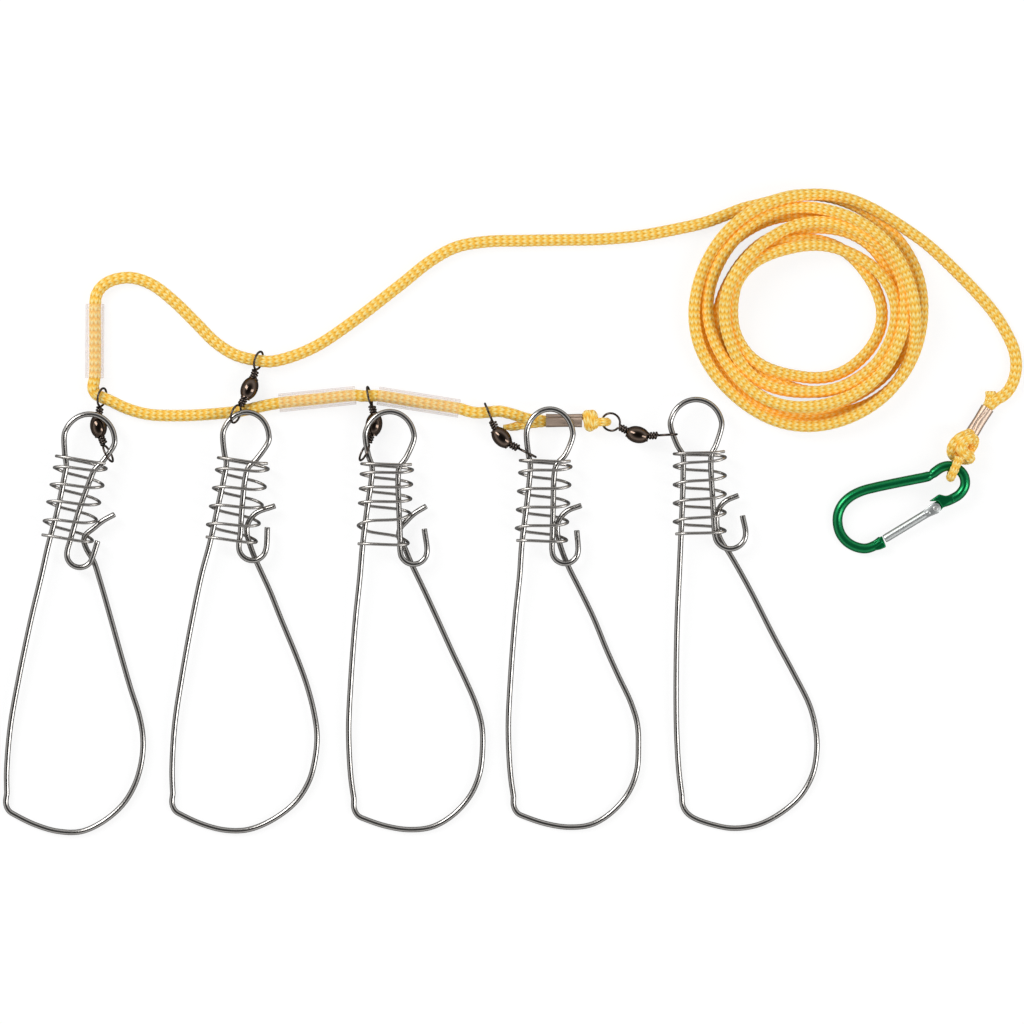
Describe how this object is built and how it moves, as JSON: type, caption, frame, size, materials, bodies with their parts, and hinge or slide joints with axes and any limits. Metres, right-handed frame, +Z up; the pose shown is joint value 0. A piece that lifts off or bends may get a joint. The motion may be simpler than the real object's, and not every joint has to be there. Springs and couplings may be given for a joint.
{
  "type": "fish stringer",
  "caption": "Knitted rope with wire snaps on barrel swivels, clear spacer tubes and a carabiner, laid flat with its spare rope wound in a coil.",
  "frame": {"origin": "on the table under the middle of the hardware's bounding box", "axes": "+X along the row of snaps towards the carabiner, +Y from the snaps' bottom curves towards the rope coil, +Z up from the table"},
  "size_m": [0.4077, 0.2585, 0.0134],
  "materials": {
    "rope": "matte",
    "knot": "matte",
    "ferrule": "satin",
    "tube": "gloss",
    "swivel": "satin",
    "barrel": "satin",
    "wire": "satin",
    "spring": "satin",
    "bar": "satin",
    "gate": "satin",
    "rivet": "satin"
  },
  "bodies": {
    "line": {"rope_stretch": "rope", "rope_coil": "rope", "rope_lead": "rope", "end_knot": "knot", "end_loop": "rope", "end_tail": "rope", "end_ferrule": "ferrule", "clip_knot": "knot", "clip_loop": "rope", "clip_tail": "rope", "clip_ferrule": "ferrule", "spacer_tube_1": "tube", "spacer_tube_2": "tube", "spacer_tube_3": "tube"},
    "eye_1": {"swivel_eye_1": "swivel"},
    "barrel_1": {"swivel_barrel_1": "barrel"},
    "link_1": {"swivel_link_1": "swivel"},
    "snap_1": {"snap_frame_1": "wire", "lock_spring_1": "spring"},
    "arm_1": {"snap_arm_1": "wire"},
    "eye_2": {"swivel_eye_2": "swivel"},
    "barrel_2": {"swivel_barrel_2": "barrel"},
    "link_2": {"swivel_link_2": "swivel"},
    "snap_2": {"snap_frame_2": "wire", "lock_spring_2": "spring"},
    "arm_2": {"snap_arm_2": "wire"},
    "eye_3": {"swivel_eye_3": "swivel"},
    "barrel_3": {"swivel_barrel_3": "barrel"},
    "link_3": {"swivel_link_3": "swivel"},
    "snap_3": {"snap_frame_3": "wire", "lock_spring_3": "spring"},
    "arm_3": {"snap_arm_3": "wire"},
    "eye_4": {"swivel_eye_4": "swivel"},
    "barrel_4": {"swivel_barrel_4": "barrel"},
    "link_4": {"swivel_link_4": "swivel"},
    "snap_4": {"snap_frame_4": "wire", "lock_spring_4": "spring"},
    "arm_4": {"snap_arm_4": "wire"},
    "eye_5": {"swivel_eye_5": "swivel"},
    "barrel_5": {"swivel_barrel_5": "barrel"},
    "link_5": {"swivel_link_5": "swivel"},
    "snap_5": {"snap_frame_5": "wire", "lock_spring_5": "spring"},
    "arm_5": {"snap_arm_5": "wire"},
    "carabiner": {"carabiner_body": "bar", "carabiner_rivet": "rivet"},
    "gate": {"carabiner_gate": "gate", "gate_spring": "spring"}
  },
  "joints": [
    {"name": "eye_1_swing", "type": "hinge", "parent": "line", "child": "eye_1", "pos_m": [-0.1536, 0.0683, 0.0041], "axis": [-0.9826, 0.1857, 0], "range_deg": [0, 45]},
    {"name": "barrel_1_spin", "type": "hinge", "parent": "eye_1", "child": "barrel_1", "pos_m": [-0.15499, 0.05671, 0.00401], "axis": [0.1208, -0.9841, 0.1305], "continuous": true},
    {"name": "link_1_turn", "type": "hinge", "parent": "eye_1", "child": "link_1", "pos_m": [-0.15094, 0.04577, 0.00715], "axis": [0.389, -0.8736, 0.2924], "range_deg": [-45, 75]},
    {"name": "snap_1_swing", "type": "hinge", "parent": "link_1", "child": "snap_1", "pos_m": [-0.14956, 0.04503, 0.00769], "axis": [0.4818, 0.8754, 0.0395], "range_deg": [0, 40]},
    {"name": "arm_1_open", "type": "hinge", "parent": "snap_1", "child": "arm_1", "pos_m": [-0.19185, -0.09036, 0.00183], "axis": [0.0079, 0.0408, -0.9991], "range_deg": [0, 12], "stiffness_Nm_per_rad": 0.4, "deforming": ["lock_spring_1"]},
    {"name": "eye_2_swing", "type": "hinge", "parent": "line", "child": "eye_2", "pos_m": [-0.091, 0.083, 0.0041], "axis": [-0.9588, 0.284, 0], "range_deg": [0, 45]},
    {"name": "barrel_2_spin", "type": "hinge", "parent": "eye_2", "child": "barrel_2", "pos_m": [-0.09459, 0.07183, 0.00471], "axis": [-0.3767, -0.905, 0.1977], "continuous": true},
    {"name": "link_2_turn", "type": "hinge", "parent": "eye_2", "child": "link_2", "pos_m": [-0.09982, 0.06154, 0.00857], "axis": [-0.4429, -0.826, 0.3486], "range_deg": [0, 75]},
    {"name": "snap_2_swing", "type": "hinge", "parent": "link_2", "child": "snap_2", "pos_m": [-0.09981, 0.06155, 0.00823], "axis": [-0.8946, -0.4463, -0.0244], "range_deg": [0, 60]},
    {"name": "arm_2_open", "type": "hinge", "parent": "snap_2", "child": "arm_2", "pos_m": [-0.12539, -0.09043, 0.00183], "axis": [0.0068, 0.041, -0.9991], "range_deg": [0, 12], "stiffness_Nm_per_rad": 0.4, "deforming": ["lock_spring_2"]},
    {"name": "eye_3_swing", "type": "hinge", "parent": "line", "child": "eye_3", "pos_m": [-0.0466, 0.0689, 0.0041], "axis": [-0.9728, -0.2317, 0], "range_deg": [0, 45]},
    {"name": "barrel_3_spin", "type": "hinge", "parent": "eye_3", "child": "barrel_3", "pos_m": [-0.04483, 0.0574, 0.00343], "axis": [-0.1374, -0.9905, 0], "continuous": true},
    {"name": "link_3_turn", "type": "hinge", "parent": "eye_3", "child": "link_3", "pos_m": [-0.0486, 0.0463, 0.00622], "axis": [-0.3553, -0.8884, 0.2907], "range_deg": [-75, 45]},
    {"name": "snap_3_swing", "type": "hinge", "parent": "link_3", "child": "snap_3", "pos_m": [-0.04781, 0.04663, 0.00761], "axis": [0.4561, -0.8892, -0.0358], "range_deg": [0, 40]},
    {"name": "arm_3_open", "type": "hinge", "parent": "snap_3", "child": "arm_3", "pos_m": [-0.05289, -0.09253, 0.00183], "axis": [0.0025, 0.0415, -0.9991], "range_deg": [0, 12], "stiffness_Nm_per_rad": 0.4, "deforming": ["lock_spring_3"]},
    {"name": "eye_4_swing", "type": "hinge", "parent": "line", "child": "eye_4", "pos_m": [0.001, 0.0624, 0.0041], "axis": [-0.9212, -0.3891, 0], "range_deg": [0, 45]},
    {"name": "barrel_4_spin", "type": "hinge", "parent": "eye_4", "child": "barrel_4", "pos_m": [0.00627, 0.05217, 0.00594], "axis": [0.6768, -0.736, 0.0192], "continuous": true},
    {"name": "link_4_turn", "type": "hinge", "parent": "eye_4", "child": "link_4", "pos_m": [0.01663, 0.04599, 0.00629], "axis": [0.8953, -0.4444, 0.0314], "range_deg": [0, 75]},
    {"name": "snap_4_swing", "type": "hinge", "parent": "link_4", "child": "snap_4", "pos_m": [0.01688, 0.0459, 0.00754], "axis": [0.3147, -0.9484, -0.0386], "range_deg": [0, 40]},
    {"name": "arm_4_open", "type": "hinge", "parent": "snap_4", "child": "arm_4", "pos_m": [0.01102, -0.09153, 0.00183], "axis": [0.0025, 0.0415, -0.9991], "range_deg": [0, 12], "stiffness_Nm_per_rad": 0.4, "deforming": ["lock_spring_4"]},
    {"name": "eye_5_swing", "type": "hinge", "parent": "line", "child": "eye_5", "pos_m": [0.04635, 0.0584, 0.00465], "axis": [0, -1, 0], "range_deg": [0, 45]},
    {"name": "barrel_5_spin", "type": "hinge", "parent": "eye_5", "child": "barrel_5", "pos_m": [0.06055, 0.05333, 0.00534], "axis": [0.9685, -0.2307, 0.0941], "continuous": true},
    {"name": "link_5_turn", "type": "hinge", "parent": "eye_5", "child": "link_5", "pos_m": [0.07261, 0.05325, 0.00646], "axis": [0.9944, 0.0539, 0.0906], "range_deg": [-75, 20]},
    {"name": "snap_5_swing", "type": "hinge", "parent": "link_5", "child": "snap_5", "pos_m": [0.07375, 0.0535, 0.00772], "axis": [-0.3059, 0.9512, 0.0395], "range_deg": [0, 60]},
    {"name": "arm_5_open", "type": "hinge", "parent": "snap_5", "child": "arm_5", "pos_m": [0.0784, -0.09072, 0.00173], "axis": [0, 0.0415, -0.9991], "range_deg": [0, 12], "stiffness_Nm_per_rad": 0.4, "deforming": ["lock_spring_5"]},
    {"name": "carabiner_swing", "type": "hinge", "parent": "line", "child": "carabiner", "pos_m": [0.1872, 0.04, 0.00597], "axis": [-0.9272, 0.3746, 0], "range_deg": [0, 60]},
    {"name": "gate_open", "type": "hinge", "parent": "carabiner", "child": "gate", "pos_m": [0.1796, 0.0239, 0.00481], "axis": [0, 0, -1], "range_deg": [0, 28], "stiffness_Nm_per_rad": 0.03, "springref_deg": -8.59}
  ]
}
